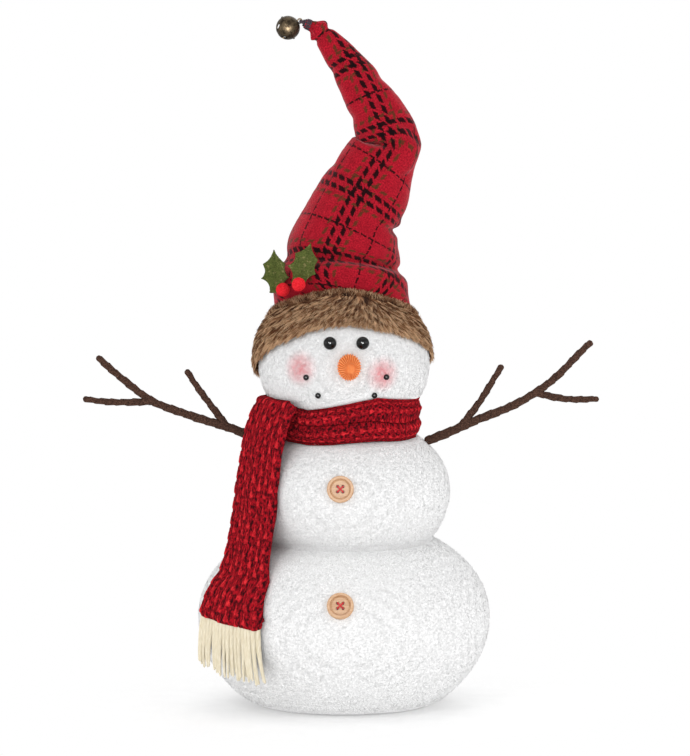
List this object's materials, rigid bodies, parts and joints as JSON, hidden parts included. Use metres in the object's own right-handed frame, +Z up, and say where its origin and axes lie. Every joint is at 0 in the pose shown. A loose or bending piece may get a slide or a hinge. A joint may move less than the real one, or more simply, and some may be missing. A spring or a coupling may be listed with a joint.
{
  "type": "snowman figure",
  "caption": "Stuffed fleece snowman that stands on a flat base, with a bent plaid hat and bell, a fur band, a knit scarf, wooden buttons and bendable wired twig arms.",
  "frame": {"origin": "centre of the flat base, on the floor", "axes": "+Z up from the base to the hat, the face looks along -Y, +X is to the right as seen from the front"},
  "size_m": [0.3877, 0.2206, 0.5157],
  "materials": {
    "fleece": "matte",
    "filling": "matte",
    "fibre_board": "matte",
    "pellets": "matte",
    "button_wood": "satin",
    "red_thread": "matte",
    "eye_black": "gloss",
    "nose_orange": "matte",
    "mouth_black": "satin",
    "knit_red": "matte",
    "fringe_cream": "matte",
    "fur_brown": "matte",
    "plaid_red": "matte",
    "steel_wire": "satin",
    "felt_green": "matte",
    "felt_red": "matte",
    "dark_thread": "matte",
    "aged_bronze": "satin",
    "twig_brown": "matte"
  },
  "bodies": {
    "body": {"base_panel": "fleece", "base_board": "fibre_board", "weight_bag": "pellets", "lower_skin": "fleece", "lower_stuffing": "filling", "upper_skin": "fleece", "upper_stuffing": "filling", "head_skin": "fleece", "head_stuffing": "filling", "shoulder_wire": "steel_wire", "lower_button": "button_wood", "lower_button_thread": "red_thread", "upper_button": "button_wood", "upper_button_thread": "red_thread", "left_eye": "eye_black", "right_eye": "eye_black", "nose": "nose_orange", "mouth_beads": "mouth_black", "scarf_wrap": "knit_red", "fur_band": "fur_brown", "hat_crown": "plaid_red", "hat_wire": "steel_wire", "holly_leaf_front": "felt_green", "holly_leaf_side": "felt_green", "holly_berries": "felt_red"},
    "left_arm": {"left_arm_stem": "twig_brown", "left_arm_inner_twig": "twig_brown", "left_arm_outer_twig": "twig_brown", "left_arm_wires": "steel_wire"},
    "right_arm": {"right_arm_stem": "twig_brown", "right_arm_inner_twig": "twig_brown", "right_arm_outer_twig": "twig_brown", "right_arm_wires": "steel_wire"},
    "hat_tip": {"hat_tip": "plaid_red", "hat_tip_wire": "steel_wire", "tip_binding": "dark_thread", "bell_tie": "dark_thread"},
    "bell": {"bell_top": "aged_bronze", "bell_bottom": "aged_bronze"},
    "bell_pea": {"bell_pea": "steel_wire"},
    "scarf_tail": {"scarf_tail": "knit_red", "scarf_fringe": "fringe_cream"}
  },
  "joints": [
    {"name": "left_arm_bend", "type": "hinge", "parent": "body", "child": "left_arm", "pos_m": [-0.0635, 0.003, 0.19765], "axis": [0, 1, 0], "range_deg": [-35, 30]},
    {"name": "right_arm_bend", "type": "hinge", "parent": "body", "child": "right_arm", "pos_m": [0.0635, 0.003, 0.19765], "axis": [0, -1, 0], "range_deg": [-35, 30]},
    {"name": "hat_tip_bend", "type": "hinge", "parent": "body", "child": "hat_tip", "pos_m": [0.034, 0.027, 0.42], "axis": [0, 1, 0], "range_deg": [0, 40]},
    {"name": "bell_swing", "type": "hinge", "parent": "hat_tip", "child": "bell", "pos_m": [-0.03312, 0.026, 0.51184], "axis": [0, 1, 0], "range_deg": [0, 50]},
    {"name": "bell_pea_rattle", "type": "slide", "parent": "bell", "child": "bell_pea", "axis": [0.866, 0, 0.5], "range_m": [0, 0.0114]},
    {"name": "scarf_tail_lift", "type": "hinge", "parent": "body", "child": "scarf_tail", "pos_m": [-0.05184, -0.03115, 0.2305], "axis": [-0.515, 0.8572, 0], "range_deg": [0, 60]}
  ]
}
